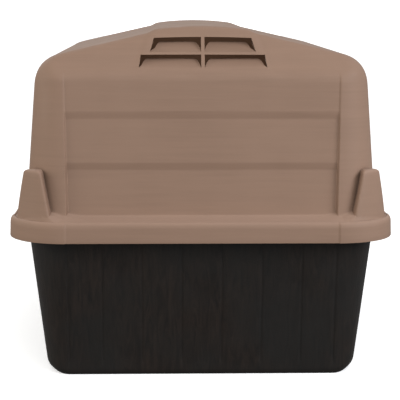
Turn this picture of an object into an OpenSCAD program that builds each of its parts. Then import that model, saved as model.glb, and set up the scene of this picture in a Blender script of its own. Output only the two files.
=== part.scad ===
// Two-part moulded animal hutch: a tapered tub with a lift-off roof that is clamped down by
// six bolts and wing nuts on the side ledges. The doorway faces -Y and the vents face +Y.
// The origin is on the floor, under the middle of the tub.

/* [Plan] */
// Half the distance between the corner centres, across the hutch
corner_x = 221; // [200:1:240]
// Half the distance between the corner centres, front to back
corner_y = 311; // [290:1:330]

/* [Tub] */
// Height of the tub's top face
tub_h = 259.9; // [255:0.1:260]
// Outer corner radius of the tub at the floor
tub_foot_r = 37.5; // [34:0.5:42]
// Outer corner radius of the tub just under its flange
tub_head_r = 69.5; // [66:0.5:72]
// Wall thickness of the tub
tub_wall = 4; // [3.5:0.5:5]
// Rounding between the tub's walls and its underside
tub_foot_fillet = 16; // [10:1:20]
// Thickness of the flange that carries the roof
flange_t = 4.9; // [4:0.1:6]
// Outer corner radius of the flange
flange_r = 90; // [88:0.5:92]
// Distance between the moulded plank grooves
plank_pitch = 66; // [56:1:70]
// Depth of a plank groove
groove_d = 2; // [1:0.25:2.5]
// Width of a plank groove
groove_w = 6; // [4:0.5:8]

/* [Roof] */
// Corner radius of the skirt
skirt_r = 99; // [98:0.5:101]
// Height of the skirt's lower edge above the floor
skirt_z = 234; // [228:1:240]
// Corner radius of the roof wall at the ledge
wall_foot_r = 70; // [68:0.5:72]
// Corner radius of the roof wall at its top
wall_head_r = 52; // [48:0.5:56]
// Height of the top of the roof wall
wall_head_z = 500; // [490:1:505]
// Wall thickness of the roof
roof_wall = 4; // [3.5:0.5:5]
// Height at which the two roof slopes would meet
peak_z = 589; // [584:1:594]
// Fall of a roof slope for each unit across
slope_fall = 0.23; // [0.21:0.01:0.25]
// Rise of an end slope for each unit along
hip_rise = 1.35; // [1.25:0.05:1.45]
// Radius of the shoulder between wall and slope
shoulder_r = 48; // [40:1:55]
// Recess of the upper board behind the corner posts
board_top_d = 2; // [1.5:0.25:2.5]
// Extra recess of each lower board
board_step_d = 3; // [2:0.25:3]
// Height of the raised ridge cap
ridge_z = 580; // [578:0.5:582]

/* [Doorway] */
// Half the width of the doorway
door_half = 135; // [120:1:150]
// Height of the doorway's sill
sill_z = 92; // [80:1:110]
// Height of the centre of the doorway's arch
arch_z = 325; // [310:1:330]

/* [Fasteners] */
// Distance between neighbouring bolts along a side
bolt_pitch = 200; // [150:5:240]
// Radius of a bolt's shank
bolt_r = 4; // [3.5:0.1:4.2]
// Radial clearance of a bolt in its holes
bolt_gap = 0.35; // [0.3:0.05:0.5]
// Reach of a wing from the nut's axis
wing_reach = 16.5; // [14:0.5:17]

/* [Hidden] */
$fn = 64;

tan_plastic = [0.55, 0.45, 0.38];
dark_plastic = [0.14, 0.12, 0.11];
hardware_plastic = [0.12, 0.12, 0.12];
washer_steel = [0.66, 0.66, 0.67];

// Tub
tub_draft = atan((tub_head_r - tub_foot_r) / tub_h);
flange_z = tub_h - flange_t;
floor_t = 5;
rib_h = 3;
rib_w = 8;
rib_pitch = 55;
planks_across = floor(corner_x / plank_pitch - 0.5);
planks_along = floor(corner_y / plank_pitch - 0.5);

// Roof
ledge_under_z = 260;
ledge_low_z = 264;
ledge_high_r = 60;
ledge_high_z = 275;
skirt_t = 4.5;
skirt_step = 1.5;
skirt_roll = 5;
seat_in_r = 72;
wall_k = (wall_foot_r - wall_head_r) / (wall_head_z - ledge_high_z);
over_z = 620;
lap_1_z = 444;
lap_2_z = 361;
lap_h = 12;
crown_half = 54;
cap_half = 81;
cap_foot = 90;
cap_edge_z = 573.5;
cap_foot_z = 566;
cap_low_half = 112;
cap_low_z = 511;
cap_proud = 5;

// Corner posts on the roof's ledge
post_foot_r = 91.5;
post_head_r = 84.5;
post_z = 347;
post_side = 27;
post_front = 87;
post_lean = 12.5;
post_draft = 9;
post_wall = 4;

// Vents: each row is [lower z, upper z, half width at the bottom, half width at the top]
vent_rows = [[538.5, 561, 87, 80.5], [512.5, 534, 105, 102.5]];
vent_bar = 3.2;
vent_gap = 8;
vent_run = 25;
vent_blade = 3;

// Doorway
sill_corner = 30;
trim_w = 16;
trim_h = 4;

// Fasteners
bolt_x = corner_x + 83;
boss_r = 11;
boss_z = 272.5;
head_r = 8;
head_h = 5.5;
washer_t = 1.6;
washer_r = 9;
nut_z = boss_z + washer_t;
hub_r = 7;
hub_h = 11;
wing_t = 3.4;
wing_r = 6.5;
wing_z = 11.5;
bolt_top = nut_z + 20;
bolt_places = [for (side = [-1, 1], step = [-1, 0, 1]) [side * bolt_x, step * bolt_pitch]];

// The points of a round corner of radius r at b, between the lines from a and to c
function unit(v) = v / norm(v);
function round_corner(a, b, c, r, n = 10) =
    let (u = unit(a - b))
    let (v = unit(c - b))
    let (half = acos(u * v) / 2)
    let (m = b + unit(u + v) * r / sin(half))
    let (p = b + u * r / tan(half) - m)
    let (q = b + v * r / tan(half) - m)
    let (turn = acos(min(1, max(-1, p * q / (r * r)))))
    [for (i = [0:n]) m + (p * sin(turn * (1 - i / n)) + q * sin(turn * i / n)) / sin(turn)];

// Radius of the roof wall behind the corner posts, and the depth of its boards, at height z
function wall_r(z) = wall_foot_r - wall_k * (z - ledge_high_z);
function tub_r(z) = tub_foot_r + z * tan(tub_draft);

// The points of the lapped boards, from the ledge upwards; d grows the wall outwards
function board_line(d) = [
    [wall_r(ledge_high_z - 10) - board_top_d - 2 * board_step_d + d, ledge_high_z - 10],
    [wall_r(lap_2_z - lap_h) - board_top_d - 2 * board_step_d + d, lap_2_z - lap_h],
    [wall_r(lap_2_z) - board_top_d - board_step_d + d, lap_2_z],
    [wall_r(lap_1_z - lap_h) - board_top_d - board_step_d + d, lap_1_z - lap_h],
    [wall_r(lap_1_z) - board_top_d + d, lap_1_z],
    [wall_r(over_z) - board_top_d + d, over_z]];

// Sweeps a profile of [radius, height] points round the plan: one profile for the corners
// and one for the straight sides
module around(corner_profile, side_profile) {
    for (i = [0:3]) {
        sx = (i == 0 || i == 3) ? 1 : -1;
        sy = (i < 2) ? 1 : -1;
        translate([sx * corner_x, sy * corner_y, 0])
            rotate([0, 0, 90 * i])
                rotate_extrude(angle = 90)
                    polygon(corner_profile);
    }
    for (turn = [0, 180]) {
        rotate([0, 0, turn])
            translate([corner_x, corner_y, 0])
                rotate([90, 0, 0])
                    linear_extrude(2 * corner_y)
                        polygon(side_profile);
        rotate([0, 0, turn])
            translate([-corner_x, corner_y, 0])
                rotate([90, 0, 90])
                    linear_extrude(2 * corner_x)
                        polygon(side_profile);
    }
}

// A solid core with the swept profiles round it
module solid_around(corner_profile, side_profile, low, high) {
    around(corner_profile, side_profile);
    translate([-corner_x, -corner_y, low])
        cube([2 * corner_x, 2 * corner_y, high - low]);
}

// Extrudes an outline of [x, z] points along Y
module along_y(low, high) {
    translate([0, high, 0])
        rotate([90, 0, 0])
            linear_extrude(high - low)
                children();
}

// Extrudes an outline of [y, z] points along X
module along_x(low, high) {
    translate([low, 0, 0])
        rotate([90, 0, 90])
            linear_extrude(high - low)
                children();
}

// The doorway's outline, grown by g all round
module door_outline(g) {
    translate([0, arch_z])
        circle(door_half + g, $fn = 96);
    translate([-door_half - g, sill_z + sill_corner])
        square([2 * (door_half + g), arch_z - sill_z - sill_corner]);
    translate([-door_half + sill_corner, sill_z - g])
        square([2 * (door_half - sill_corner), sill_corner + g + 1]);
    for (side = [-1, 1])
        translate([side * (door_half - sill_corner), sill_z + sill_corner])
            circle(sill_corner + g);
}

module door_cut(g) {
    along_y(-corner_y - 120, -corner_y)
        door_outline(g);
}

// Tub

module tub_solid(inset, low) {
    fillet = tub_foot_fillet - inset;
    head = [tub_r(tub_h) - inset, tub_h];
    foot = [tub_r(low) - inset, low];
    line = concat([[0, low]], round_corner([0, low], foot, head, fillet, 6), [head, [0, tub_h]]);
    solid_around(line, line, low, tub_h);
}

module plank_groove(length) {
    rotate([-tub_draft, 0, 0])
        translate([0, 0, tub_foot_fillet])
            linear_extrude(length)
                polygon([[-groove_w / 2, 1], [0, -groove_d], [groove_w / 2, 1]]);
}

module plank_grooves() {
    length = flange_z - tub_foot_fillet - 4;
    for (turn = [0, 180])
        rotate([0, 0, turn]) {
            for (i = [-planks_across - 1:planks_across])
                translate([(i + 0.5) * plank_pitch, corner_y + tub_foot_r, 0])
                    plank_groove(length);
            for (side = [-1, 1])
                translate([side * corner_x, corner_y + tub_foot_r, 0])
                    plank_groove(length);
        }
    for (turn = [-90, 90])
        rotate([0, 0, turn]) {
            for (i = [-planks_along - 1:planks_along])
                translate([(i + 0.5) * plank_pitch, corner_x + tub_foot_r, 0])
                    plank_groove(length);
            for (side = [-1, 1])
                translate([side * corner_y, corner_x + tub_foot_r, 0])
                    plank_groove(length);
        }
}

module flange() {
    line = [[tub_head_r - tub_wall, flange_z], [flange_r, flange_z], [flange_r, tub_h],
        [tub_head_r - tub_wall, tub_h]];
    around(line, line);
}

module floor_ribs() {
    for (i = [-3:3])
        translate([i * rib_pitch - rib_w / 2, -corner_y + 20, floor_t - 1])
            cube([rib_w, 2 * corner_y - 40, rib_h + 1]);
}

module base_tub() {
    color(dark_plastic)
        difference() {
            union() {
                difference() {
                    union() {
                        difference() {
                            tub_solid(0, 0);
                            plank_grooves();
                        }
                        flange();
                        intersection() {
                            tub_solid(-trim_h, 0);
                            along_y(-corner_y - 120, -corner_y)
                                intersection() {
                                    door_outline(trim_w);
                                    translate([-door_half - 50, sill_z - 50])
                                        square([2 * door_half + 100, skirt_z - sill_z + 44]);
                                }
                        }
                    }
                    tub_solid(tub_wall, floor_t);
                    translate([-corner_x, -corner_y, tub_h - 1])
                        cube([2 * corner_x, 2 * corner_y, 2]);
                }
                floor_ribs();
            }
            door_cut(0);
            for (p = bolt_places)
                translate([p[0], p[1], flange_z - 1])
                    cylinder(h = flange_t + 2, r = bolt_r + bolt_gap);
        }
}

// Roof

// Cross-section of the roof, with its slopes and shoulders; d grows it outwards
module roof_section(d) {
    a = corner_x + wall_foot_r + d;
    top = peak_z + d * sqrt(1 + slope_fall * slope_fall);
    x = (a - wall_k * (top - ledge_high_z)) / (1 - wall_k * slope_fall);
    low = ledge_under_z - 10;
    wall = [a - wall_k * (low - ledge_high_z), low];
    edge = [x, top - slope_fall * x];
    right = concat([wall], round_corner(wall, edge, [0, top], shoulder_r + d));
    count = len(right);
    flat = top - slope_fall * crown_half;
    polygon(concat(right, [[crown_half, flat], [-crown_half, flat]],
        [for (i = [count - 1:-1:0]) [-right[i][0], right[i][1]]]));
}

// Long section of the roof, with its end slopes; d grows it outwards
module hip_section(d) {
    a = corner_y + wall_foot_r + d;
    up = wall_head_z + (corner_y + wall_head_r) * hip_rise + d * sqrt(1 + hip_rise * hip_rise);
    z = (up - hip_rise * (a + wall_k * ledge_high_z)) / (1 - hip_rise * wall_k);
    low = ledge_under_z - 10;
    wall = [a - wall_k * (low - ledge_high_z), low];
    edge = [a - wall_k * (z - ledge_high_z), z];
    head = [(up - over_z) / hip_rise, over_z];
    right = concat([wall], round_corner(wall, edge, head, 30, 5), [head]);
    count = len(right);
    polygon(concat(right, [for (i = [count - 1:-1:0]) [-right[i][0], right[i][1]]]));
}

// The walls: plain round corners, and lapped boards between them
module wall_solid(d) {
    low = ledge_high_z - 10;
    corner = [[0, low], [wall_r(low) + d, low], [wall_r(over_z) + d, over_z], [0, over_z]];
    side = concat([[0, low]], board_line(d), [[0, over_z]]);
    solid_around(corner, side, low, over_z);
}

module roof_solid(d) {
    intersection() {
        along_y(-corner_y - 120, corner_y + 120)
            roof_section(d);
        along_x(-corner_x - 120, corner_x + 120)
            hip_section(d);
        wall_solid(d);
    }
}

// Joins the recessed boards to the corner walls behind each upright step
module board_edges() {
    line = board_line(-roof_wall);
    web = concat([for (i = [0:4]) line[i]],
        [[wall_r(lap_1_z) - 1, lap_1_z], [wall_r(ledge_high_z - 10) - 1, ledge_high_z - 10]]);
    for (turn = [0, 180], flip = [0, 1])
        mirror([flip, 0, 0])
            rotate([0, 0, turn]) {
                along_x(corner_x - 1, corner_x + roof_wall)
                    translate([corner_y, 0])
                        polygon(web);
                along_y(corner_y - 1, corner_y + roof_wall)
                    translate([corner_x, 0])
                        polygon(web);
            }
}

// The raised strip along the ridge, which spreads down both end slopes
module ridge_cap() {
    half = (cap_half * cap_half + pow(ridge_z - cap_edge_z, 2)) / (2 * (ridge_z - cap_edge_z));
    arc = [for (i = [-6:6]) let (x = cap_half * i / 6)
        [x, ridge_z - half + sqrt(half * half - x * x)]];
    foot_y = corner_y + wall_head_r - (cap_low_z - wall_head_z) / hip_rise;
    head_y = corner_y + wall_head_r - (ridge_z - wall_head_z) / hip_rise + cap_proud;
    intersection() {
        along_y(-corner_y - 60, corner_y + 60)
            polygon(concat([[-cap_low_half, cap_low_z], [-cap_foot, cap_foot_z]], arc,
                [[cap_foot, cap_foot_z], [cap_low_half, cap_low_z]]));
        along_x(-cap_low_half - 5, cap_low_half + 5)
            polygon([[-foot_y, cap_low_z], [-head_y, ridge_z], [-head_y, ridge_z + 5],
                [head_y, ridge_z + 5], [head_y, ridge_z], [foot_y, cap_low_z]]);
    }
}

// Skirt and sloping ledge round the foot of the roof
function rim_line(r) = concat(
    [[seat_in_r, ledge_under_z], [r - skirt_t - 1, ledge_under_z], [r - skirt_t, ledge_under_z - 4],
        [r - skirt_t, skirt_z], [r, skirt_z]],
    round_corner([r, skirt_z], [r - 1.5, ledge_low_z], [ledge_high_r, ledge_high_z], skirt_roll, 5),
    [[ledge_high_r, ledge_high_z], [ledge_high_r - 4, ledge_high_z],
        [ledge_high_r - 4, ledge_high_z - 5], [wall_r(ledge_high_z) - roof_wall, ledge_high_z - 6]]);

module rim() {
    around(rim_line(skirt_r), rim_line(skirt_r - skirt_step));
}

// The half-space beyond one leaning flank of a post
module post_flank(g) {
    translate([post_side + g, post_front, ledge_high_z])
        rotate([0, post_lean, 0])
            rotate([0, 0, -post_draft])
                translate([0, -150, -120])
                    cube([200, 300, 240]);
}

// A tapered post that wraps one corner; g shrinks it for its hollow
module post_solid(g) {
    line = concat([[40, ledge_under_z - g], [post_foot_r - g, ledge_under_z - g]],
        round_corner([post_foot_r - g, ledge_under_z], [post_head_r - g, post_z - g],
            [40, post_z - g], 6 - g, 4),
        [[40, post_z - g]]);
    intersection() {
        rotate_extrude(angle = 90)
            polygon(line);
        post_flank(g);
        mirror([1, -1, 0])
            post_flank(g);
    }
}

module posts(g) {
    for (i = [0:3]) {
        sx = (i == 0 || i == 3) ? 1 : -1;
        sy = (i < 2) ? 1 : -1;
        translate([sx * corner_x, sy * corner_y, 0])
            rotate([0, 0, 90 * i])
                post_solid(g);
    }
}

// One half of a vent row's outline; g grows it
module vent_outline(row, side, g) {
    polygon([[side * (vent_bar - g), row[0]], [side * (row[2] + g), row[0]],
        [side * (row[3] + g), row[1]], [side * (vent_bar - g), row[1] + 1.5]]);
}

// Distance of the end slope from the middle at height z
function hip_y(z) = corner_y + wall_head_r - (z - wall_head_z) / hip_rise;

module louvre_solid(row, side) {
    intersection() {
        along_y(corner_y - 40, corner_y + 80)
            vent_outline([row[0] - 4, row[1] + 3, row[2] + 1, row[3]], side, 3);
        along_x(-cap_low_half, cap_low_half)
            polygon([[hip_y(row[0] - 4), row[0] - 4],
                [hip_y(row[0]) - vent_run - 2, row[1] - vent_gap - vent_blade],
                [hip_y(row[0]) - vent_run - 2, row[1] - vent_gap],
                [hip_y(row[1]) - 6, row[1] + 3],
                [hip_y(row[1] + 3), row[1] + 3]]);
    }
}

module louvre_air(row, side) {
    intersection() {
        along_y(corner_y - 60, corner_y + 80)
            vent_outline(row, side, 0);
        along_x(-cap_low_half, cap_low_half)
            polygon([[corner_y + 80, row[0]], [hip_y(row[0]) + 2, row[0]],
                [hip_y(row[0]) - vent_run, row[1] - vent_gap], [corner_y - 60, row[1] - vent_gap],
                [corner_y - 60, row[1] + 2], [corner_y + 80, row[1] + 2]]);
    }
}

module roof_shell() {
    color(tan_plastic)
        difference() {
            union() {
                difference() {
                    union() {
                        roof_solid(0);
                        ridge_cap();
                        rim();
                        posts(0);
                        intersection() {
                            roof_solid(trim_h);
                            door_cut(trim_w);
                        }
                    }
                    roof_solid(-roof_wall);
                    translate([-corner_x, -corner_y, ledge_under_z - 10])
                        cube([2 * corner_x, 2 * corner_y, 40]);
                    posts(post_wall);
                }
                board_edges();
                for (row = vent_rows, side = [-1, 1])
                    louvre_solid(row, side);
                for (p = bolt_places)
                    translate([p[0], p[1], ledge_under_z + 1])
                        cylinder(h = boss_z - ledge_under_z - 1, r = boss_r);
            }
            for (row = vent_rows, side = [-1, 1])
                louvre_air(row, side);
            door_cut(0);
            for (p = bolt_places)
                translate([p[0], p[1], ledge_under_z - 5])
                    cylinder(h = boss_z - ledge_under_z + 10, r = bolt_r + bolt_gap);
        }
}

// Fasteners

module clamp_bolt(i) {
    color(hardware_plastic)
        translate([bolt_places[i - 1][0], bolt_places[i - 1][1], 0]) {
            translate([0, 0, flange_z - head_h])
                cylinder(h = head_h, r = head_r, $fn = 6);
            translate([0, 0, flange_z - head_h])
                cylinder(h = bolt_top - 1.5 - flange_z + head_h, r = bolt_r);
            translate([0, 0, bolt_top - 1.5])
                cylinder(h = 1.5, r1 = bolt_r, r2 = bolt_r - 1.2);
        }
}

module washer(i) {
    color(washer_steel)
        translate([bolt_places[i - 1][0], bolt_places[i - 1][1], boss_z])
            difference() {
                cylinder(h = washer_t, r = washer_r);
                translate([0, 0, -1])
                    cylinder(h = washer_t + 2, r = bolt_r + bolt_gap);
            }
}

module wing_nut(i) {
    color(hardware_plastic)
        translate([bolt_places[i - 1][0], bolt_places[i - 1][1], nut_z])
            difference() {
                union() {
                    cylinder(h = hub_h * 0.4, r = hub_r + 0.8);
                    cylinder(h = hub_h, r = hub_r);
                    for (side = [-1, 1])
                        along_x(-wing_t / 2, wing_t / 2) {
                            translate([side * (wing_reach - wing_r), wing_z])
                                circle(wing_r);
                            polygon([[0, 0.8], [side * 5, 0.8], [side * (wing_reach - 3), 6.5],
                                [side * (wing_reach - 9), 15], [side * 4, hub_h], [0, hub_h]]);
                        }
                }
                translate([0, 0, -1])
                    cylinder(h = 30, r = bolt_r + bolt_gap);
            }
}

module clamp_bolt_1() { clamp_bolt(1); }
module clamp_bolt_2() { clamp_bolt(2); }
module clamp_bolt_3() { clamp_bolt(3); }
module clamp_bolt_4() { clamp_bolt(4); }
module clamp_bolt_5() { clamp_bolt(5); }
module clamp_bolt_6() { clamp_bolt(6); }
module washer_1() { washer(1); }
module washer_2() { washer(2); }
module washer_3() { washer(3); }
module washer_4() { washer(4); }
module washer_5() { washer(5); }
module washer_6() { washer(6); }
module wing_nut_1() { wing_nut(1); }
module wing_nut_2() { wing_nut(2); }
module wing_nut_3() { wing_nut(3); }
module wing_nut_4() { wing_nut(4); }
module wing_nut_5() { wing_nut(5); }
module wing_nut_6() { wing_nut(6); }

base_tub();
roof_shell();
clamp_bolt_1();
clamp_bolt_2();
clamp_bolt_3();
clamp_bolt_4();
clamp_bolt_5();
clamp_bolt_6();
washer_1();
washer_2();
washer_3();
washer_4();
washer_5();
washer_6();
wing_nut_1();
wing_nut_2();
wing_nut_3();
wing_nut_4();
wing_nut_5();
wing_nut_6();
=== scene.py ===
"""Looks of a two-part moulded hutch: a tapered tub, a lift-off roof, bolts, washers and wing nuts.

Shapes are in millimetres and angles in degrees, and make_object() turns the lengths into metres. The vents
are at the +Y end and the doorway at the -Y end. Both shells are swept round a core rectangle whose corners
are the centres of the rounded corners, and a radius r is a distance straight out from that rectangle.
"""

import math

import bmesh
import bpy
import numpy as np
from mathutils import Matrix, Vector


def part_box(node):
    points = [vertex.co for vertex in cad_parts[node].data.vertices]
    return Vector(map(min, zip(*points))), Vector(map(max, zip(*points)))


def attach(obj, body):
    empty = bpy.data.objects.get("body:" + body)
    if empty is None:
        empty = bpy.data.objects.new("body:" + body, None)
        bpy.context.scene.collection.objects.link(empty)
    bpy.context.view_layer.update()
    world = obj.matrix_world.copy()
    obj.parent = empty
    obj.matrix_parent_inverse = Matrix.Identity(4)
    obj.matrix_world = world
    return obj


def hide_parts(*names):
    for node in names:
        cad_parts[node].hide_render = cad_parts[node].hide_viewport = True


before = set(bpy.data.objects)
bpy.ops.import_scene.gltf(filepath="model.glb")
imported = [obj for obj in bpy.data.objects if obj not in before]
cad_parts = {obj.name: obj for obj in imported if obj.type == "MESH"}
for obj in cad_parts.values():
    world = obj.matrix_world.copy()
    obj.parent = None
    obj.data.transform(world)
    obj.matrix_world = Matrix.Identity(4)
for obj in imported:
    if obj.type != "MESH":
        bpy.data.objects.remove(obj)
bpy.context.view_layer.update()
MM = 0.001


def sine(degrees):
    return math.sin(math.radians(degrees))


def cosine(degrees):
    return math.cos(math.radians(degrees))


def link(obj):
    bpy.context.scene.collection.objects.link(obj)
    return obj


# ---------------------------------------------------------------- camera
CAMERA_AT = (60.0, 2505.4, 626.0)
CAMERA_PITCH = 8.685        # downwards
CAMERA_TURN = 1.513         # from -Y towards -X
CAMERA_ROLL = 0.12
LENS, SENSOR = 119.16, 36.0
CLIP_END = 1000.0           # metres


def add_camera():
    data = bpy.data.cameras.new("camera")
    data.lens = LENS
    data.sensor_width = SENSOR
    data.clip_end = CLIP_END
    camera = link(bpy.data.objects.new("camera", data))
    level = cosine(CAMERA_PITCH)
    look = Vector((-sine(CAMERA_TURN) * level, -cosine(CAMERA_TURN) * level, -sine(CAMERA_PITCH)))
    aim = look.to_track_quat("-Z", "Y").to_matrix()
    roll = Matrix.Rotation(math.radians(CAMERA_ROLL), 3, "Z")
    camera.location = Vector(CAMERA_AT) * MM
    camera.rotation_euler = (aim @ roll).to_euler()
    bpy.context.scene.camera = camera


add_camera()
bpy.context.scene.view_settings.view_transform = "Standard"


# ---------------------------------------------------------------- sizes
def node_box(node):
    """A CAD node's lowest and highest corners, in millimetres."""
    return [[round(value / MM, 2) for value in corner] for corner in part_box(node)]


def node_middle(node):
    low, high = node_box(node)
    return (low[0] + high[0]) / 2, (low[1] + high[1]) / 2


HALF_WIDTH, HALF_LENGTH, HEIGHT = node_box("roof_shell")[1]
SKIRT_LOW = node_box("roof_shell")[0][2]
TUB_TOP = node_box("base_tub")[1][2]
SEAT_TOP = node_box("washer_1")[0][2]
BOLTS = [node_middle(name) for name in sorted(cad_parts) if name.startswith("clamp_bolt")]
SKIRT_R = 99.0
CX, CY = HALF_WIDTH - SKIRT_R, HALF_LENGTH - SKIRT_R    # the core rectangle's half sides
SHELL = 4.0                                             # wall thickness of both shells
SEAT_R, BOLT_HOLE_R = 10.0, 4.35

# Tub: corner radius at the floor, how much it grows with each unit of height, and thickness of the floor
TUB_R, TUB_LEAN, TUB_FLOOR = 37.5, 0.12312, 5.0
# Roof wall: corner radius where it meets the ledge, how much it shrinks with each unit of height, that height
WALL_R, WALL_LEAN, WALL_FOOT = 70.8, 0.0775, 275.0
# Roof slopes: their fall across the roof, the height at which they would meet, and that of the flat on top
SLOPE_FALL, PEAK, FLAT_TOP = 0.23, 589.0, 576.6
# End slopes: their rise along the roof, and a point that they pass through
HIP_RISE, HIP_Y, HIP_Z = 1.35, CY + 52.0, 500.0
SHOULDER = 40.0
# Lapped boards: heights, and how deep the boards lie behind the corner columns there
LAP_HEIGHTS, LAP_DEPTHS = [349.0, 361.0, 432.0, 444.0], [8.0, 5.0, 5.0, 2.0]
# Ledge: the valley's height and radius, and how far in and how high the ledge rises from it
VALLEY_Z, VALLEY_R, LEDGE_RUN, LEDGE_RISE = 266.6, 91.0, 31.0, 8.4
# Doorway: half its width, the height of the sill and of the arch's centre, and the sill's corner radius
DOOR_HALF, SILL, ARCH, DOOR_CORNER = 135.0, 92.0, 325.0, 30.0


# ---------------------------------------------------------------- forms
def smooth_max(a, b, radius):
    """The larger of a and b, with the crease between them rounded."""
    near = np.maximum(radius - np.abs(a - b), 0.0) / radius
    return np.maximum(a, b) + near * near * radius * 0.25


def smooth_min(a, b, radius):
    return -smooth_max(-a, -b, radius)


def step(start, end, value):
    """Rises smoothly from 0 at start to 1 at end."""
    u = np.clip((value - start) / (end - start), 0.0, 1.0)
    return u * u * (3.0 - 2.0 * u)


def beyond(u, z, point, normal):
    """Distance of (u, z) beyond the line that goes through the point, square to the normal."""
    return (normal[0] * (u - point[0]) + normal[1] * (z - point[1])) / math.hypot(*normal)


def tub_r(z):
    return TUB_R + TUB_LEAN * z


def wall_r(z):
    return WALL_R - WALL_LEAN * (z - WALL_FOOT)


def lap(z):
    """Depth of the lapped boards behind the corner columns."""
    return np.interp(z, LAP_HEIGHTS, LAP_DEPTHS)


def flare(z):
    """How far past the corner centres the columns' edges lie: a little further on the way up."""
    return 0.6 + 4.2 * np.clip((z - WALL_FOOT) / 215.0, 0.0, 1.1)


def between(x, y, edge, soft=3.8):
    """1 on the boards between the columns and 0 on the columns, which start edge past the corner centres."""
    dx, dy = np.abs(x) - CX, np.abs(y) - CY
    return np.where(dy > dx, 1.0 - step(edge - soft, edge, dx), 1.0 - step(edge - soft, edge, dy))


def ridge_cap(ax, ay, z):
    """Negative inside the raised cap: a crowned top, two bevels down each side, and sloping ends."""
    crown_r = 546.0
    crown = z - (HEIGHT - crown_r + np.sqrt(np.maximum(crown_r ** 2 - ax * ax, 0)))
    upper_bevel = beyond(ax, z, (81.0, 573.5), (7.5, 9.0))
    lower_bevel = beyond(ax, z, (90.0, 566.0), (55.0, 22.0))
    end = beyond(ay, z, (309.03, HEIGHT), (1.506, 1.0))
    side = smooth_max(smooth_max(crown, upper_bevel, 3.0), lower_bevel, 3.0)
    return smooth_max(smooth_max(side, end, 8.0), 512.0 - z, 3.0)


def roof_field(x, y, z, grow, shift):
    """Negative inside the roof's form grown by grow, with the columns' edges moved by shift."""
    ax, ay = np.abs(x), np.abs(y)
    slope = smooth_max(beyond(ax, z, (0.0, PEAK), (SLOPE_FALL, 1.0)) - grow, z - FLAT_TOP - grow, 5.0)
    hip = beyond(ay, z, (HIP_Y, HIP_Z), (HIP_RISE, 1.0)) - grow
    dx, dy = ax - CX, ay - CY
    r = np.hypot(np.maximum(dx, 0), np.maximum(dy, 0)) + np.minimum(np.maximum(dx, dy), 0)
    boards = lap(z) * between(x, y, flare(z) + shift)
    wall = (r - wall_r(z) + boards) / math.hypot(1.0, WALL_LEAN) - grow
    field = smooth_max(smooth_max(slope, wall, SHOULDER + grow), hip, 5.0)
    if grow == 0:
        field = smooth_min(field, ridge_cap(ax, ay, z), 3.0)
    return field


def solve(point_at, low, high, shape, field):
    """Bisects for the distance t at which field(point_at(t)) crosses zero."""
    low, high = np.full(shape, low), np.full(shape, high)
    for _ in range(34):
        middle = 0.5 * (low + high)
        inside = field(*point_at(middle)) < 0
        low, high = np.where(inside, middle, low), np.where(inside, high, middle)
    return 0.5 * (low + high)


class Plan:
    """Stations round the plan, anticlockwise from the +X side.

    Each has a base point on the core rectangle, an outward direction, its distance along the side from the
    side's middle (lateral), and a flag for the sides that run across the hutch. xs and ys are the stations
    along the sides, and corner holds the angles of the stations round a corner."""

    CORNER_REACH = 58.0     # lateral runs on round a corner as if the corner had this radius

    def __init__(self, xs, ys, corner):
        self.xs, self.ys = np.array(xs, float), np.array(ys, float)
        sides = (([(CX, y) for y in self.ys], (CX, CY)),
                 ([(x, CY) for x in self.xs[::-1]], (-CX, CY)),
                 ([(-CX, y) for y in self.ys[::-1]], (-CX, -CY)),
                 ([(x, -CY) for x in self.xs], (CX, -CY)))
        base, angles, lateral = [], [], []
        for turn, (side, centre) in enumerate(sides):
            along_y = turn % 2 == 0
            first, second = (CY, CX) if along_y else (CX, CY)
            base += side + [centre] * len(corner)
            angles += [90 * turn] * len(side) + [90 * turn + a for a in corner]
            lateral += [abs(y) if along_y else abs(x) for x, y in side]
            lateral += [first + self.CORNER_REACH * sine(a) if a <= 45 else
                        second + self.CORNER_REACH * cosine(a) for a in corner]
        self.base = np.array(base)
        self.out = np.array([(cosine(a), sine(a)) for a in angles])
        self.lateral = np.array(lateral)
        self.across = np.abs(self.out[:, 1]) > np.abs(self.out[:, 0])
        self.count = len(base)

    def xy(self, r):
        points = self.base + self.out * np.broadcast_to(r, (self.count,))[:, None]
        return points[:, 0], points[:, 1]

    def row(self, r, z):
        """One ring of points, r out from the core rectangle at the height z."""
        return np.column_stack([*self.xy(r), np.broadcast_to(z, (self.count,))])

    def core(self, height):
        """The grid over the core rectangle, with z = height(x, y)."""
        gx, gy = np.meshgrid(self.xs, self.ys, indexing="ij")
        return np.stack([gx, gy, height(gx, gy)], -1)


def mirrored(half):
    return sorted(set([-v for v in half] + list(half)))


# ---------------------------------------------------------------- meshes
def make_object(name, verts, faces, merge=True):
    mesh = bpy.data.meshes.new(name)
    mesh.from_pydata((np.asarray(verts, float) * MM).tolist(), [], faces)
    obj = link(bpy.data.objects.new(name, mesh))
    bm = bmesh.new()
    bm.from_mesh(mesh)
    if merge:
        bmesh.ops.remove_doubles(bm, verts=bm.verts, dist=2e-6)
    bmesh.ops.recalc_face_normals(bm, faces=bm.faces)
    bm.to_mesh(mesh)
    bm.free()
    return obj


def shell(name, plan, rows, outer_grid, inner_grid):
    """A closed skin: its rows run from one grid over the core, round the outside, to the other grid."""
    n = plan.count
    verts = [np.concatenate(rows)]
    faces = []
    for j in range(len(rows) - 1):
        for i in range(n):
            k = (i + 1) % n
            faces.append((j * n + i, (j + 1) * n + i, (j + 1) * n + k, j * n + k))
    for grid, flip in ((outer_grid, False), (inner_grid, True)):
        start = sum(len(v) for v in verts)
        nx, ny = grid.shape[:2]
        verts.append(grid.reshape(-1, 3))
        for i in range(nx - 1):
            for j in range(ny - 1):
                quad = (start + i * ny + j, start + (i + 1) * ny + j,
                        start + (i + 1) * ny + j + 1, start + i * ny + j + 1)
                faces.append(quad[::-1] if flip else quad)
    return make_object(name, np.concatenate(verts), faces)


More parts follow.
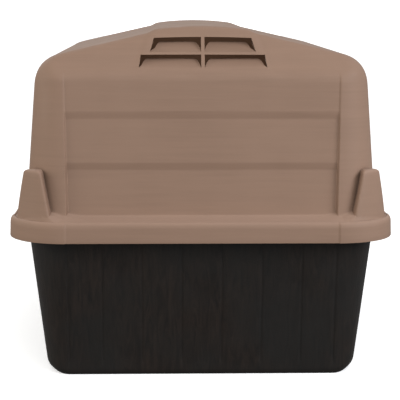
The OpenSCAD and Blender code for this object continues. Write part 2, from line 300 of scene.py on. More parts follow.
def prism(name, outline, low, high, axis):
    """Extrudes an outline along Y (its points are x, z), X (y, z) or Z (x, y)."""
    place = {"Y": lambda p, t: (p[0], t, p[1]), "X": lambda p, t: (t, p[0], p[1]),
             "Z": lambda p, t: (p[0], p[1], t)}[axis]
    n = len(outline)
    verts = [place(p, low) for p in outline] + [place(p, high) for p in outline]
    faces = [tuple(range(n)), tuple(range(2 * n - 1, n - 1, -1))]
    faces += [(i, (i + 1) % n, n + (i + 1) % n, n + i) for i in range(n)]
    return make_object(name, verts, faces, merge=False)


def disc(x, y, r, sides=40):
    turns = [2 * math.pi * i / sides for i in range(sides)]
    return [(x + r * math.cos(t), y + r * math.sin(t)) for t in turns]


def cut(obj, tool, how="DIFFERENCE"):
    """Cuts the tool out of obj, or joins it on, and removes the tool."""
    boolean = obj.modifiers.new("cut", "BOOLEAN")
    boolean.object = tool
    boolean.operation = how
    boolean.solver = "MANIFOLD"
    graph = bpy.context.evaluated_depsgraph_get()
    mesh = bpy.data.meshes.new_from_object(obj.evaluated_get(graph))
    obj.modifiers.clear()
    obj.data = mesh
    bpy.data.objects.remove(tool)
    return obj


def join(obj, tool):
    return cut(obj, tool, "UNION")


def finish_mesh(obj, crease=32):
    """Drops empty faces, and shades smoothly wherever faces meet at less than the crease angle."""
    bm = bmesh.new()
    bm.from_mesh(obj.data)
    bmesh.ops.dissolve_degenerate(bm, dist=1e-6, edges=bm.edges)
    bm.to_mesh(obj.data)
    bm.free()
    for face in obj.data.polygons:
        face.use_smooth = True
    obj.data.set_sharp_from_angle(angle=math.radians(crease))


def door_outline(low=None):
    """The doorway's edge from the lower left, over the arch, to the lower right, as (x, z) points.

    It starts at the height low, or at the sill's rounded corners if low isn't given."""
    left = []
    if low is None:
        corner_x, corner_z = -DOOR_HALF + DOOR_CORNER, SILL + DOOR_CORNER
        left += [(corner_x - DOOR_CORNER * sine(a), corner_z - DOOR_CORNER * cosine(a))
                 for a in range(0, 91, 10)]
        low = corner_z
    left += [(-DOOR_HALF, z) for z in np.linspace(low, ARCH, 16)[1:-1]]
    arch = [(-DOOR_HALF * cosine(a), ARCH + DOOR_HALF * sine(a)) for a in range(0, 181, 4)]
    return left + arch + [(-x, z) for x, z in left[::-1]]


def cut_doorway(obj):
    cut(obj, prism("door", door_outline(), -(CY + 130), -CY, "Y"))


def cut_bolt_holes(obj, high):
    for x, y in BOLTS:
        cut(obj, prism("hole", disc(x, y, BOLT_HOLE_R), 250.0, high, "Z"))


# Section of the border round the doorway: how far from the edge, and how proud of the face
BORDER = [(0.0, -7.0), (0.0, -1.6), (0.4, -0.6), (1.6, 0.0), (5.0, 0.2), (11.0, 0.2),
          (14.2, -0.2), (15.6, -1.2), (16.4, -3.0), (17.2, -5.0), (17.2, -7.0)]


def border(name, path, outward, face_r):
    """A raised border along a path in the front wall, whose face lies face_r(z) from the core rectangle."""
    verts, faces = [], []
    for (x, z), (nx, nz) in zip(path, outward):
        for away, proud in BORDER:
            height = z + nz * away
            verts.append((x + nx * away, -(CY + face_r(height) + proud), height))
    m, n = len(BORDER), len(path)
    for i in range(n - 1):
        for j in range(m):
            k = (j + 1) % m
            faces.append((i * m + j, i * m + k, (i + 1) * m + k, (i + 1) * m + j))
    faces += [tuple(range(m)), tuple((n - 1) * m + j for j in range(m - 1, -1, -1))]
    return make_object(name, verts, faces, merge=False)


# ---------------------------------------------------------------- roof
# Stations crowd together at the columns' edges and along the cap's sides
EDGE = [4.0, 3.1, 2.3, 1.5, 0.7, 0.0]
roof_xs = [*range(0, 71, 10), 77, 81, *range(84, 97, 3), *range(100, 117, 4), 122, 131, *range(142, 191, 12),
           201, 210, 215] + [CX - e for e in EDGE]
roof_ys = [*range(0, 226, 25), 245, 262, 275, 284, *range(290, 303, 4), 305] + [CY - e for e in EDGE]
near = [0.6, 1.2, 1.8, 2.4, 3.0, 3.6, 4.3, 5.2, 6.5]
corner_angles = near + [6.5 + 77.0 * i / 13 for i in range(1, 13)] + [90.0 - a for a in near[::-1]]
roof_plan = Plan(mirrored(roof_xs), mirrored(roof_ys), corner_angles)

PIVOT = 452.0           # the height from which the roof's upper rows fan out
INSIDE_SHIFT = 4.6      # how much further out the columns' edges lie on the inside
OUTER_LEVELS = [446, 444.8, 443.6, 438, 433, 431.6, 430, 422, 405, 386, 370, 363, 361.2, 359.8, 355, 350.4,
                349, 347.4, 338, 320, 302, 288]
INNER_LEVELS = [270, 285, 310, 340, 349, 361, 375, 400, 431, 444, 449]
# The skirt under its rolled edge, down the outside and up the inside: how far in, and at what height
SKIRT_SECTION = [(0.6, 250.0), (0.3, 242.0), (0.05, SKIRT_LOW + 1.3), (0.25, SKIRT_LOW + 0.4),
                 (0.9, SKIRT_LOW), (3.3, SKIRT_LOW), (4.2, SKIRT_LOW + 0.6), (4.5, SKIRT_LOW + 2.0),
                 (4.6, 256.0), (5.2, 259.4), (7.0, 260.0)]
LEDGE_UNDERSIDE = [(80.0, 260.0), (72.5, 260.0), (70.0, 263.6)]


def roof_fan(grow, shift, angles):
    """The upper rows, found along rays that fan out from the pivot height, at angles above the level."""
    rows = []
    for a in angles:
        def point_at(t, a=a):
            return *roof_plan.xy(t * cosine(a)), PIVOT + t * sine(a)

        t = solve(point_at, 2.0, 260.0, roof_plan.count, lambda x, y, z: roof_field(x, y, z, grow, shift))
        rows.append(roof_plan.row(t * cosine(a), PIVOT + t * sine(a)))
    return rows


def roof_top(grow, shift):
    """The roof's surface over the core rectangle."""
    def height(x, y):
        return solve(lambda z: (x, y, z), 400.0, 640.0, x.shape,
                     lambda x, y, z: roof_field(x, y, z, grow, shift))

    return roof_plan.core(height)


def wall_row(z, grow, shift):
    r = np.full(roof_plan.count, wall_r(z) + grow)
    for _ in range(4):
        r = wall_r(z) + grow - lap(z) * between(*roof_plan.xy(r), flare(z) + shift)
    return roof_plan.row(r, z)


def ledge(r, raised=0.0, reach=62.0):
    """The ledge sweeps down from the wall's foot to a valley behind the skirt's rolled edge.

    It is raised out to the radius reach, and from there it falls off to the valley."""
    u = np.clip((VALLEY_R - r) / LEDGE_RUN, 0.0, 1.0)
    return VALLEY_Z + LEDGE_RISE * u ** 1.4 + raised * (1.0 - step(reach, VALLEY_R + 0.5, r))


def ledge_rows(foot, skirt):
    """From the wall's foot out to the skirt. The ledge is raised round the posts, most of all at the ends."""
    x, y = roof_plan.xy(70.0)
    dx, dy = np.abs(x) - CX, np.abs(y) - CY
    beside = np.minimum(dx, dy)
    raised = 0.7 + (2.0 + 8.0 * step(-25.0, 25.0, dy - dx)) * step(-30.0, 35.0, beside)
    reach = 62.0 + 25.0 * np.where(dy > dx, step(6.0, 21.0, beside), step(24.0, 36.0, beside))
    row = roof_plan.row
    foot_z = ledge(foot, raised, reach)
    rows = [row(foot + 0.02, foot_z + 2.6), row(foot + 0.35, foot_z + 0.9)]
    rows.append(row(foot + 1.1, ledge(foot + 1.1, raised, reach) + 0.3))
    for share in (0.0, 0.15, 0.3, 0.45, 0.58, 0.68, 0.77, 0.85, 0.93, 1.0):
        r = foot + 2.4 + share * (skirt - 8.9 - foot - 2.4)
        rows.append(row(r, ledge(r, raised, reach)))
    return rows


def skirt_rows(skirt):
    """Over the rolled edge, down the skirt, round its lower lip and back under the ledge."""
    row = roof_plan.row
    rows = [row(skirt - 8.1, VALLEY_Z + 0.8)]
    rows += [row(skirt - 7.4 + 6.6 * cosine(a), 257.0 + 11.0 * sine(a))
             for a in (90, 76, 64, 53, 42, 31, 20, 10, 0)]
    rows += [row(skirt - inset, z) for inset, z in SKIRT_SECTION]
    return rows + [row(r, z) for r, z in LEDGE_UNDERSIDE]


def make_roof():
    skirt = SKIRT_R - 0.4 - 1.7 * between(*roof_plan.xy(98.0), 2.6, 4.6)
    foot = wall_r(273.0) - LAP_DEPTHS[0] * between(*roof_plan.xy(66.0), flare(WALL_FOOT))
    rows = roof_fan(0.0, 0.0, [90 - 90 * i / 32 for i in range(33)])
    rows += [wall_row(z, 0.0, 0.0) for z in OUTER_LEVELS]
    rows += ledge_rows(foot, skirt) + skirt_rows(skirt)
    rows += [wall_row(z, -SHELL, INSIDE_SHIFT) for z in INNER_LEVELS]
    rows += roof_fan(-SHELL, INSIDE_SHIFT, [90 * i / 16 for i in range(17)])
    return shell("roof", roof_plan, rows, roof_top(0.0, 0.0), roof_top(-SHELL, INSIDE_SHIFT))


# Tapered posts that wrap the corners
POST_R = 89.8           # radius of a post's face at the height POST_LOW
POST_LOW, POST_TOP = 260.0, 347.0
POST_LEAN = 7.0 / (POST_TOP - POST_LOW)
POST_FLANK = (27.0, 87.0)   # a point of a flank at the height WALL_FOOT, from the corner's centre
POST_FLARE = 0.1584     # how much a flank turns out for each unit away from the corner's centre
POST_NARROWS = 0.2217   # how much the flanks close in for each unit of height


def round_polygon(points, radii, pieces=4):
    """Replaces each point that has a radius with an arc."""
    result = []
    for i, (point, radius) in enumerate(zip(points, radii)):
        if radius <= 0:
            result.append(tuple(point))
            continue
        corner = np.array(point)
        back, ahead = np.array(points[i - 1]) - corner, np.array(points[(i + 1) % len(points)]) - corner
        u, v = back / np.linalg.norm(back), ahead / np.linalg.norm(ahead)
        half = math.acos(np.clip(u @ v, -1, 1)) / 2
        centre = corner + (u + v) / np.linalg.norm(u + v) * radius / math.sin(half)
        start = corner + u * radius / math.tan(half) - centre
        end = corner + v * radius / math.tan(half) - centre
        sweep = math.acos(np.clip(start @ end / radius ** 2, -1, 1))
        for k in range(pieces + 1):
            turn = sweep * k / pieces
            spoke = (start * math.sin(sweep - turn) + end * math.sin(turn)) / math.sin(sweep)
            result.append(tuple(centre + spoke))
    return result


def post_section(z, inset):
    """A post's outline at the height z, measured from its corner's centre and pulled in by inset."""
    outer_r = POST_R - (z - POST_LOW) * POST_LEAN - inset
    inner_r = wall_r(z) - 2.0
    offset = POST_FLANK[0] + inset + POST_NARROWS * (z - WALL_FOOT) - POST_FLARE * POST_FLANK[1]

    def flank(r):
        """Where the flank, x = offset + POST_FLARE * y, has the radius r."""
        s = POST_FLARE
        y = (-offset * s + math.sqrt(offset ** 2 * s * s - (1 + s * s) * (offset ** 2 - r * r))) / (1 + s * s)
        return offset + s * y, y

    ax, ay = flank(outer_r)
    bx, by = flank(inner_r)
    outer, inner = math.atan2(ay, ax), math.atan2(by, bx)
    face = [(outer_r * math.cos(t), outer_r * math.sin(t))
            for t in np.linspace(outer, math.pi / 2 - outer, 12)[2:-2]]
    back = [(inner_r * math.cos(t), inner_r * math.sin(t))
            for t in np.linspace(math.pi / 2 - inner, inner, 8)[1:-1]]
    points = [(bx, by), (ax, ay)] + face + [(ay, ax), (by, bx)] + back
    radii = [0, 3.2] + [0] * len(face) + [3.2, 0] + [0] * len(back)
    return round_polygon(points, radii)


def post_levels():
    """(height, inset) pairs: a fillet at the foot, straight flanks and a rounded top."""
    buried = [(256.0, -0.8), (264.0, -0.8)]
    fillet = [(271.0 - 3.0 * cosine(a), -0.8 + 0.8 * sine(a)) for a in (0, 15, 35, 60, 90)]
    straight = [(z, 0.0) for z in (WALL_FOOT, 280.0, 295.0, 310.0, 325.0, 336.0)]
    rounded = [(343.4 + 6.0 * sine(a), 6.0 - 6.0 * cosine(a)) for a in (0, 20, 40, 58, 74)]
    return buried + fillet + straight + rounded


def post_form():
    """A post's points and faces. Its foot follows the slope of the ledge under it."""
    sections = []
    for z, inset in post_levels():
        follow = float(1 - step(272, 305, z))
        sections.append([(x, y, z + float(ledge(math.hypot(x, y)) - ledge(88.0)) * follow)
                         for x, y in post_section(z, inset)])
    m = len(sections[0])
    verts = [point for section in sections for point in section]
    faces = []
    for j in range(len(sections) - 1):
        for i in range(m):
            k = (i + 1) % m
            faces.append((j * m + i, j * m + k, (j + 1) * m + k, (j + 1) * m + i))
    faces.append(tuple(range(m - 1, -1, -1)))
    verts.append(tuple(np.array(sections[-1]).mean(0) + (0, 0, 0.35)))
    start = (len(sections) - 1) * m
    faces += [(start + i, start + (i + 1) % m, len(verts) - 1) for i in range(m)]
    return verts, faces


def add_posts(roof):
    verts, faces = post_form()
    for sx in (-1, 1):
        for sy in (-1, 1):
            placed = [(sx * (CX + x), sy * (CY + y), z) for x, y, z in verts]
            join(roof, make_object("post", placed, faces, merge=False))


# Vents: lower and upper edge, half width at each, and how far the upper edge bows
VENTS = [(538.5, 561.0, 86.5, 80.0, 1.6), (512.5, 534.3, 104.5, 101.5, 0.3)]
VENT_X = -1.5
BAR = 2.8                               # half the bar between the two halves of a vent
GAP, RUN, BLADE = 6.5, 25.0, 3.0        # air over the blade behind a slot, the blade's depth and thickness
# A slot's rounded upper corner: how far in and down
CHEEK = [(12.5, 0.0), (9.0, 1.0), (6.0, 3.4), (3.4, 7.0), (1.6, 10.5)]


def hip_y(z):
    """Where the end slope's surface lies at the height z."""
    return HIP_Y - (z - HIP_Z) / HIP_RISE


def slot_outline(low, high, wide_low, wide_high, side, bow, grow=0.0):
    """Half a slot, on one side of the bar, as (x, z) points."""
    inner = BAR - grow
    upper = [(VENT_X + side * (inner + (wide_high + grow - inner) * s), high + bow * (1 - s * s))
             for s in (1.0, 0.75, 0.5, 0.25, 0.0)]
    return [(VENT_X + side * inner, low), (VENT_X + side * (wide_low + grow), low)] + upper


def crossed(name, end_outline, side_outline):
    """What two prisms share, one seen from the end and one from the side."""
    solid = prism(name, end_outline, CY - 70, CY + 90, "Y")
    return cut(solid, prism("tool", side_outline, -140, 140, "X"), "INTERSECT")


def add_louvre(roof, low, high, wide_low, wide_high, bow, side):
    """The solid behind half a slot, from which the air is cut afterwards."""
    back = hip_y(low) - RUN - 2
    end_outline = slot_outline(low - 4, high + 1.5, wide_low + 1, wide_high, side, bow, grow=3.0)
    side_outline = [(hip_y(low - 4) - 2.0, low - 4), (back, high - GAP - BLADE), (back, high - GAP),
                    (hip_y(high) - 6, high + 3), (hip_y(high + 3) - 1.0, high + 3)]
    join(roof, crossed("louvre", end_outline, side_outline))


def cut_slot(roof, low, high, wide_low, wide_high, bow, side):
    """The air in half a slot, with cheeks that round its corners behind the surface."""
    end_outline = slot_outline(low, high, wide_low, wide_high, side, bow)
    side_outline = [(CY + 80, low), (hip_y(low) + 2, low), (hip_y(low) - RUN, high - GAP),
                    (CY - 60, high - GAP), (CY - 60, high + 3), (CY + 80, high + 3)]
    cut(roof, crossed("air", end_outline, side_outline))
    top = high - GAP + 0.5
    for x_low, x_top, inward in ((wide_low, wide_high, -1), (BAR, BAR, 1)):
        cheek = [(x_low, low + 1.5), (x_top, top)]
        cheek += [(x_top + inward * dx, top - dz) for dx, dz in CHEEK if top - dz > low + 2.5]
        cut(roof, prism("cheek", [(VENT_X + side * x, z) for x, z in cheek], CY - 50, CY + 80, "Y"))


def add_vents(roof):
    halves = [(*vent, side) for vent in VENTS for side in (-1, 1)]
    for half in halves:
        add_louvre(roof, *half)
    for half in halves:
        cut_slot(roof, *half)


# The front face at the doorway, from the skirt up to the wall: heights, and how far out it lies
FRONT_HEIGHTS = [SKIRT_LOW, 256, 262, 266, 268.8, 271.5, 275, 280, 288, 300]
FRONT_R = [98.7, 98.6, 98.0, 96.3, 93.0, 87.0, 79.5, 72.0, 67.3, 65.5]
BORDER_LOW = SKIRT_LOW + 0.3
# Plates that close the skirt's ends beside the doorway: how far out, and at what height
PLATE = [(71.0, 262.5), (71.0, SKIRT_LOW + 2.0), (73.0, SKIRT_LOW + 0.4), (96.5, SKIRT_LOW + 0.4),
         (96.5, 262.0)]
PLATE_THICK = 4.0


def roof_face_r(z):
    if z < FRONT_HEIGHTS[-1]:
        return float(np.interp(z, FRONT_HEIGHTS, FRONT_R))
    return float(wall_r(z) - np.interp(z, [WALL_FOOT, 500], [8.0, 2.0]) + 4.0)


def arch_path():
    """The doorway's edge in the roof, with two more points in each stretch of its straight sides."""
    lower_left, lower_right = (-DOOR_HALF, BORDER_LOW), (DOOR_HALF, BORDER_LOW)
    coarse = [lower_left] + door_outline(BORDER_LOW) + [lower_right]
    fine = []
    for a, b in zip(coarse[:-1], coarse[1:]):
        count = 3 if min(a[1], b[1]) < ARCH - 1 else 1
        fine += [(a[0] + (b[0] - a[0]) * i / count, a[1] + (b[1] - a[1]) * i / count) for i in range(count)]
    return fine + [lower_right]


def arch_outward(point):
    """The direction away from the doorway at a point of its edge."""
    x, z = point
    if z <= ARCH:
        return math.copysign(1.0, x), 0.0
    distance = math.hypot(x, z - ARCH)
    return x / distance, (z - ARCH) / distance


def add_roof_doorway(roof):
    """The opening, its border, and the plates beside it."""
    cut_doorway(roof)
    path = arch_path()
    join(roof, border("roof_border", path, [arch_outward(point) for point in path], roof_face_r))
    plate = [(-(CY + out), z) for out, z in PLATE]
    for side in (-1, 1):
        low, high = sorted((side * DOOR_HALF, side * (DOOR_HALF + PLATE_THICK)))
        join(roof, prism("plate", plate, low, high, "X"))


def add_seats(roof):
    """Flat seats for the washers."""
    for x, y in BOLTS:
        join(roof, prism("seat", disc(x, y, SEAT_R), 261.5, SEAT_TOP, "Z"))


roof = make_roof()
add_posts(roof)
add_vents(roof)
add_roof_doorway(roof)
add_seats(roof)
cut_bolt_holes(roof, 285.0)
finish_mesh(roof)

# ---------------------------------------------------------------- tub
ACROSS = [33.0, 99.0, 165.0, CX]                        # plank grooves on the ends
ALONG = [33.0, 99.0, 165.0, 231.0, 297.0, CY]           # plank grooves on the long sides
GROOVE_DEPTH, GROOVE_HALF = 1.3, 3.3
GROOVE_STATIONS = [-4.2, -3.1, -2.0, -1.0, 0.0, 1.0, 2.0, 3.1, 4.2]
RIBS = [55.0 * i for i in range(-3, 4)]                 # floor ribs
RIB_HALF, RIB_HEIGHT, RIB_END = 4.7, 3.0, 290.0
RIB_STATIONS = [-5.5, -4.0, 4.0, 5.5]
FILL_STRETCH = 14                                       # about the distance between stations on a plank


def plank_stations(limit, centres, extra):
    """Stations along one side: several across each groove, with the planks between them filled in evenly."""
    lines = {0.0, limit, *extra}
    for centre in centres:
        lines.update(abs(centre + g) for g in GROOVE_STATIONS if abs(centre + g) <= limit)
    marks = sorted(lines)
    filled = list(marks)
    for a, b in zip(marks[:-1], marks[1:]):
        pieces = int((b - a) // FILL_STRETCH) + 1
        filled += [a + (b - a) * i / pieces for i in range(1, pieces)]
    return mirrored([round(v, 3) for v in filled])


rib_lines = [abs(centre + e) for centre in RIBS for e in RIB_STATIONS if centre >= 0]
tub_angles = [1.0, 2.1, 3.2, 4.4, 8] + [90.0 * i / 12 for i in range(2, 11)] + [82, 85.6, 86.8, 87.9, 89.0]
tub_plan = Plan(plank_stations(CX, ACROSS, rib_lines), plank_stations(CY, ALONG, [RIB_END - 1, RIB_END + 1]),
                tub_angles)
LEAN = math.atan(TUB_LEAN)      # radians


def groove_depth(z):
    depth = np.zeros(tub_plan.count)
    for centres, across in ((ACROSS, True), (ALONG, False)):
        for centre in centres:
            u = 1.0 - (np.abs(tub_plan.lateral - centre) / GROOVE_HALF) ** 1.5
            groove = GROOVE_DEPTH * np.clip(u, 0, 1)
            depth = np.maximum(depth, np.where(tub_plan.across == across, groove, 0))
    return depth * step(21.0, 27.0, z) * (1.0 - step(247.0, 252.0, z))


def tub_foot():
    """How far in and how high the foot's rounding reaches: more round the corners than along the sides."""
    angle = np.degrees(np.arctan2(np.abs(tub_plan.out[:, 1]), np.abs(tub_plan.out[:, 0])))
    turned = np.where(tub_plan.across, 1.0, step(-64.0, 30.0, tub_plan.lateral - CY))
    turned = turned * (1.0 - step(15.0, 95.0, angle))
    return 5.0 + 19.0 * turned, 12.0 + 18.0 * turned


def tub_outer_rows():
    """From the underside, round the foot and up the planks to the flange."""
    row = tub_plan.row
    inset, rise = tub_foot()
    rows = [row(0, 0), row(12, 0)]
    for i in range(10):
        t = i / 9 * (math.pi / 2 - LEAN)
        r = tub_r(rise * (1 - math.sin(LEAN))) - inset * (math.cos(LEAN) - math.sin(t))
        rows.append(row(r, rise * (1 - math.cos(t))))
    for level, above_foot in ((20.5, 1.2), (26, 4.0), (40, 8.0)):
        z = np.maximum(level, rise + above_foot)
        rows.append(row(tub_r(z) - groove_depth(z), z))
    rows += [row(tub_r(z) - groove_depth(z), z) for z in (70, 105, 140, 175, 205, 228, 244, 249, 252)]
    return rows


def flange_rows():
    """Round the edge of the flange that carries the roof."""
    edge, under = 90.0, 255.0
    section = [(tub_r(254) + 0.3, 254.2), (tub_r(254) + 1.6, under), (80, under), (edge - 0.8, under),
               (edge, under + 0.7), (edge, TUB_TOP - 0.8), (edge - 0.7, TUB_TOP), (78, TUB_TOP),
               (tub_r(259) - 2.8, TUB_TOP), (tub_r(259) - 3.8, TUB_TOP - 0.7), (tub_r(256) - SHELL, 256)]
    return [tub_plan.row(r, z) for r, z in section]


def tub_inner_rows():
    """Down the inside and round the inner foot to the floor."""
    row = tub_plan.row
    rows = [row(tub_r(z) - SHELL, z) for z in (235, 200, 160, 120, 80, 50, 30, 20)]
    fillet = 12.0
    centre_r = TUB_R - SHELL + TUB_LEAN * TUB_FLOOR + (fillet * math.sin(LEAN) - fillet) / math.cos(LEAN)
    for i in range(6):
        t = -LEAN + i / 5 * (-math.pi / 2 + LEAN)
        rows.append(row(centre_r + fillet * math.cos(t), TUB_FLOOR + fillet + fillet * math.sin(t)))
    return rows + [row(10, TUB_FLOOR), row(0, TUB_FLOOR)]


def floor_height(x, y):
    z = np.full(x.shape, TUB_FLOOR)
    for centre in RIBS:
        z += RIB_HEIGHT * (np.abs(x - centre) < RIB_HALF) * (np.abs(y) < RIB_END)
    return z


def make_tub():
    rows = tub_outer_rows() + flange_rows() + tub_inner_rows()
    underside = tub_plan.core(lambda x, y: np.zeros(x.shape))
    return shell("tub", tub_plan, rows, underside, tub_plan.core(floor_height))


def sill_path():
    """The doorway's edge in the tub, from the upper left to the upper right, and the directions outwards."""
    corner_x, corner_z = -DOOR_HALF + DOOR_CORNER, SILL + DOOR_CORNER
    path = [(-DOOR_HALF, z) for z in np.linspace(233.6, corner_z, 10)[:-1]]
    outward = [(-1.0, 0.0)] * len(path)
    for a in range(0, 91, 10):
        path.append((corner_x - DOOR_CORNER * cosine(a), corner_z - DOOR_CORNER * sine(a)))
        outward.append((-cosine(a), -sine(a)))
    for x in np.linspace(corner_x, 0, 7)[1:]:
        path.append((x, SILL))
        outward.append((0.0, -1.0))
    path += [(-x, z) for x, z in path[-2::-1]]
    outward += [(-x, z) for x, z in outward[-2::-1]]
    return path, outward


def tub_face_r(z):
    return float(tub_r(z) + 3.6)


def add_tub_doorway(tub):
    """The opening, a gap in the flange that clears the roof's plates, and the border."""
    cut_doorway(tub)
    gap = DOOR_HALF + PLATE_THICK + 0.6
    outline = [(-gap, 250), (gap, 250), (gap, 262), (-gap, 262)]
    cut(tub, prism("flange_gap", outline, -(CY + 99), -(CY + 70.2), "Y"))
    join(tub, border("tub_border", *sill_path(), tub_face_r))


tub = make_tub()
add_tub_doorway(tub)
cut_bolt_holes(tub, 265.0)
finish_mesh(tub)


# ---------------------------------------------------------------- materials
FACTOR, COLOUR_A, COLOUR_B, MIXED = 0, 6, 7, 2      # the sockets of a mix node that mixes colours


def set_sockets(node, values):
    for socket, value in values.items():
        node.inputs[socket].default_value = value


class Surface:
    """A node material that is built up layer by layer."""

    def __init__(self, name, base, metallic, specular):
        self.material = bpy.data.materials.new(name)
        self.material.use_nodes = True
        self.nodes, self.links = self.material.node_tree.nodes, self.material.node_tree.links
        self.shader = self.nodes["Principled BSDF"]
        set_sockets(self.shader, {"Metallic": metallic, "Specular IOR Level": specular})
        self.place = self.nodes.new("ShaderNodeTexCoord").outputs["Object"]
        self.geometry = self.nodes.new("ShaderNodeNewGeometry").outputs
        self.facing_z = self.height_of(self.geometry["Normal"])
        self.place_z = self.height_of(self.place)
        self.base = base
        self.colour = None

    def tint(self, gain, lift=0.0):
        """The base colour times gain, plus lift. gain is one number, or one for each channel."""
        gains = gain if isinstance(gain, tuple) else (gain,) * 3
        return tuple(min(1, channel * g + lift) for channel, g in zip(self.base, gains))

    def height_of(self, vector):
        split = self.nodes.new("ShaderNodeSeparateXYZ")
        self.links.new(vector, split.inputs["Vector"])
        return split.outputs["Z"]

    def noise(self, scale, detail, rough=0.55, stretch=None, swirl=0.0):
        noise = self.nodes.new("ShaderNodeTexNoise")
        set_sockets(noise, {"Scale": scale, "Detail": detail, "Roughness": rough, "Distortion": swirl})
        source = self.place
        if stretch:
            mapping = self.nodes.new("ShaderNodeMapping")
            mapping.inputs["Scale"].default_value = stretch
            self.links.new(self.place, mapping.inputs["Vector"])
            source = mapping.outputs["Vector"]
        self.links.new(source, noise.inputs["Vector"])
        return noise.outputs["Fac"]

    def span(self, source, low, high, to_low, to_high):
        """Maps low..high to to_low..to_high."""
        spread = self.nodes.new("ShaderNodeMapRange")
        set_sockets(spread, {"From Min": low, "From Max": high, "To Min": to_low, "To Max": to_high})
        self.links.new(source, spread.inputs["Value"])
        return spread.outputs["Result"]

    def times(self, a, b):
        product = self.nodes.new("ShaderNodeMath")
        product.operation = "MULTIPLY"
        self.links.new(a, product.inputs[0])
        self.links.new(b, product.inputs[1])
        return product.outputs[0]

    def lay(self, factor, over, under=None):
        """Lays the colour over on what there is so far, or on the colour under."""
        mix = self.nodes.new("ShaderNodeMix")
        mix.data_type = "RGBA"
        self.links.new(factor, mix.inputs[FACTOR])
        if under is None:
            self.links.new(self.colour, mix.inputs[COLOUR_A])
        else:
            mix.inputs[COLOUR_A].default_value = under + (1,)
        mix.inputs[COLOUR_B].default_value = over + (1,)
        self.colour = mix.outputs[MIXED]

    def relief(self, height, strength, depth, below=None):
        """A bump layer, on top of the one below."""
        bump = self.nodes.new("ShaderNodeBump")
        set_sockets(bump, {"Strength": strength, "Distance": depth})
        self.links.new(height, bump.inputs["Height"])
        if below is not None:
            self.links.new(below, bump.inputs["Normal"])
        return bump.outputs["Normal"]


def lay_wear_and_highlight(surface, wear_and_highlight):
    """Paler on sharp edges, in patches: rubbed wear, and a painted highlight along the edges."""
    edge = surface.span(surface.geometry["Pointiness"], 0.52, 0.60, 0.0, wear_and_highlight)
    patches = surface.span(surface.noise(60.0, 3.0), 0.35, 0.65, 0.4, 1.0)
    # rubbed wear plus a painted highlight on the edges
    surface.lay(surface.times(edge, patches), surface.tint(1.45, 0.02))


def lay_top_light(surface, top_light):
    """Painted light: paler and greyer on the faces that look up, as if lit from above with a sheen, less so
    towards the top of the roof.
    """
    upward = surface.span(surface.facing_z, 0.35, 0.96, 0.0, top_light)
    low_down = surface.span(surface.place_z, 0.33, 0.50, 1.0, 0.05)
    # painted top light and sheen: a paler, greyer tone on faces that look up
    surface.lay(surface.times(upward, low_down), surface.tint((1.30, 1.36, 1.45), 0.015))


def lay_crease_shade(surface, crease_shade, reach):
    """Painted shade in the inner corners, from ambient occlusion, less of it on faces that look up and near
    the ridge.
    """
    corner = surface.nodes.new("ShaderNodeAmbientOcclusion")
    corner.samples = 8
    corner.inputs["Distance"].default_value = reach
    crease_darkening = surface.span(corner.outputs["AO"], 0.32, 0.76, crease_shade, 0.0)
    upright = surface.span(surface.facing_z, 0.15, 0.75, 1.0, 0.1)
    low_down = surface.span(surface.place_z, 0.48, 0.51, 1.0, 0.6)
    # painted shade: a darker tone where ambient occlusion finds a nearby surface
    surface.lay(surface.times(crease_darkening, surface.times(upright, low_down)), surface.tint(0.40))


def shade(name, base, rough, metallic=0.0, specular=0.5, grain=(8, 8, 8), contrast=0.05, swirl=0.0, bump=0.1,
          mottled=None, wear_and_highlight=0.0, top_light=0.0, crease_shade=0.0, reach=0.023):
    """A moulded or plated surface: grain, mottling, edge wear with a painted highlight, painted top light and
    painted crease shade, then roughness and relief.
    """
    surface = Surface(name, base, metallic, specular)
    fibres = surface.noise(6.0, 6.0, 0.62, grain, swirl)
    surface.lay(surface.span(fibres, 0.3, 0.7, 0, 1), surface.tint(1 + contrast * 2.0),
                under=surface.tint(1 - contrast * 2.2))
    mottle = surface.noise(7.0, 3.0)
    surface.lay(surface.span(mottle, 0.35, 0.65, 0.0, 0.75 if mottled else 0.5),
                mottled or surface.tint(1.10, 0.004))
    # Rubbed edges, with a painted highlight along them
    if wear_and_highlight:
        lay_wear_and_highlight(surface, wear_and_highlight)
    # Painted light on the faces that look up
    if top_light:
        lay_top_light(surface, top_light)
    # Painted shade in the inner corners
    if crease_shade:
        lay_crease_shade(surface, crease_shade, reach)
    surface.links.new(surface.colour, surface.shader.inputs["Base Color"])
    scuffs = surface.span(surface.noise(22.0, 5.0), 0.3, 0.7, rough - 0.06, rough + 0.08)
    surface.links.new(scuffs, surface.shader.inputs["Roughness"])
    grain_relief = surface.relief(fibres, bump, 0.0006)
    skin_relief = surface.relief(surface.noise(900.0, 2.0), bump * 0.6, 0.0002, grain_relief)
    surface.links.new(skin_relief, surface.shader.inputs["Normal"])
    return surface.material


# The tan look gets painted top light, both plastics get painted shade in their creases, and the plastics and
# hardware get a painted edge highlight along with their wear.
tan_look = shade("tan_plastic_look", (0.272, 0.173, 0.122), 0.57, specular=0.22, grain=(1.2, 1.2, 26),
                 contrast=0.022, bump=0.25, wear_and_highlight=0.1, top_light=0.65, crease_shade=0.9)
dark_look = shade("dark_plastic_look", (0.0125, 0.0080, 0.0058), 0.50, specular=0.28, grain=(15, 15, 1.5),
                  contrast=0.28, swirl=1.6, bump=1.0, mottled=(0.0105, 0.0100, 0.0092), wear_and_highlight=0.15, crease_shade=0.8,
                  reach=0.022)
black_look = shade("hardware_look", (0.020, 0.020, 0.021), 0.42, bump=0.12, wear_and_highlight=0.3)
zinc_look = shade("zinc_look", (0.62, 0.62, 0.63), 0.34, metallic=1.0, grain=(6, 6, 6))


def paint(obj, look):
    obj.data.materials.clear()
    obj.data.materials.append(look)


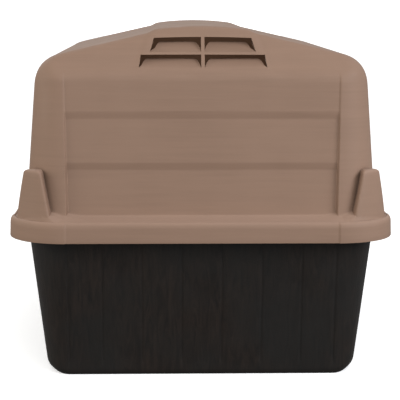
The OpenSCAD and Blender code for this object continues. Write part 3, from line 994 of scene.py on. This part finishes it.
def soften_edges(obj):
    bevel = obj.modifiers.new("edge", "BEVEL")
    bevel.width = 0.5 * MM
    bevel.segments = 2
    bevel.limit_method = "ANGLE"
    bevel.angle_limit = math.radians(40)


roof.name = "roof_moulding"
paint(roof, tan_look)
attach(roof, "roof")
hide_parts("roof_shell")

tub.name = "tub_moulding"
paint(tub, dark_look)
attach(tub, "base")
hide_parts("base_tub")

for name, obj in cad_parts.items():
    if name.startswith("washer"):
        paint(obj, zinc_look)
    elif name.startswith(("wing_nut", "clamp_bolt")):
        paint(obj, black_look)
        soften_edges(obj)

# ---------------------------------------------------------------- studio, in metres
FLOOR_HALF = 300
BACKDROP_R, BACKDROP_SIDES = 20, 64
BACKDROP_LOW, BACKDROP_HIGH = -1, 25
FLOOR_GLOW, BACKDROP_GLOW = 0.46, 1.0
LAMP_AIM = Vector((0, 0, 0.35))


def studio_look(name, glow):
    look = bpy.data.materials.new(name)
    look.use_nodes = True
    set_sockets(look.node_tree.nodes["Principled BSDF"],
                {"Base Color": (0.92, 0.92, 0.92, 1), "Roughness": 0.9, "Specular IOR Level": 0.1,
                 "Emission Color": (1, 1, 1, 1), "Emission Strength": glow})
    return look


def add_stage(name, verts, faces, glow):
    """A plain surface that the camera sees, but that neither lights the object nor shows in it."""
    mesh = bpy.data.meshes.new(name)
    mesh.from_pydata(verts, [], faces)
    obj = link(bpy.data.objects.new(name, mesh))
    paint(obj, studio_look(name + "_look", glow))
    obj.visible_diffuse = False
    obj.visible_glossy = False
    return obj


def add_floor():
    reach = FLOOR_HALF
    corners = [(-reach, -reach, 0), (reach, -reach, 0), (reach, reach, 0), (-reach, reach, 0)]
    add_stage("floor", corners, [(0, 1, 2, 3)], FLOOR_GLOW)


def add_backdrop():
    """An upright ring round the floor, which casts no shadow."""
    n = BACKDROP_SIDES
    turns = [2 * math.pi * i / n for i in range(n)]
    verts = [(BACKDROP_R * math.cos(t), BACKDROP_R * math.sin(t), z)
             for z in (BACKDROP_LOW, BACKDROP_HIGH) for t in turns]
    faces = [(i, (i + 1) % n, n + (i + 1) % n, n + i) for i in range(n)]
    add_stage("backdrop", verts, faces, BACKDROP_GLOW).visible_shadow = False


def add_sky():
    """Even white light, stronger from above than from below."""
    world = bpy.data.worlds.new("studio")
    bpy.context.scene.world = world
    world.use_nodes = True
    nodes, links = world.node_tree.nodes, world.node_tree.links
    direction = nodes.new("ShaderNodeTexCoord")
    split = nodes.new("ShaderNodeSeparateXYZ")
    strength = nodes.new("ShaderNodeMapRange")
    set_sockets(strength, {"From Min": -0.25, "From Max": 0.25, "To Min": 0.27, "To Max": 0.50})
    links.new(direction.outputs["Generated"], split.inputs["Vector"])
    links.new(split.outputs["Z"], strength.inputs["Value"])
    links.new(strength.outputs["Result"], nodes["Background"].inputs["Strength"])
    nodes["Background"].inputs["Color"].default_value = (1.0, 1.0, 1.0, 1)


def add_lamp(name, kind, place, power, **settings):
    light = bpy.data.lights.new(name, kind)
    light.energy = power
    for key, value in settings.items():
        setattr(light, key, value)
    lamp = link(bpy.data.objects.new(name, light))
    lamp.location = place
    lamp.rotation_euler = (LAMP_AIM - Vector(place)).to_track_quat("-Z", "Y").to_euler()


add_floor()
add_backdrop()
add_sky()
add_lamp("key", "SUN", (-0.45, 3.4, 2.55), 0.95, angle=math.radians(50))
add_lamp("right", "AREA", (-2.0, 1.6, 1.4), 37, shape="SQUARE", size=1.2, color=(0.97, 1.0, 1.07))
add_lamp("left", "AREA", (2.6, 0.8, 1.0), 27, shape="SQUARE", size=1.6, color=(1.0, 0.95, 0.86))
add_lamp("back", "SUN", (0.9, -3.0, 2.6), 0.5, angle=math.radians(60))
add_lamp("inside", "POINT", (0.0, -0.05, 0.40), 0.7, shadow_soft_size=0.15, color=(1.0, 0.86, 0.72))
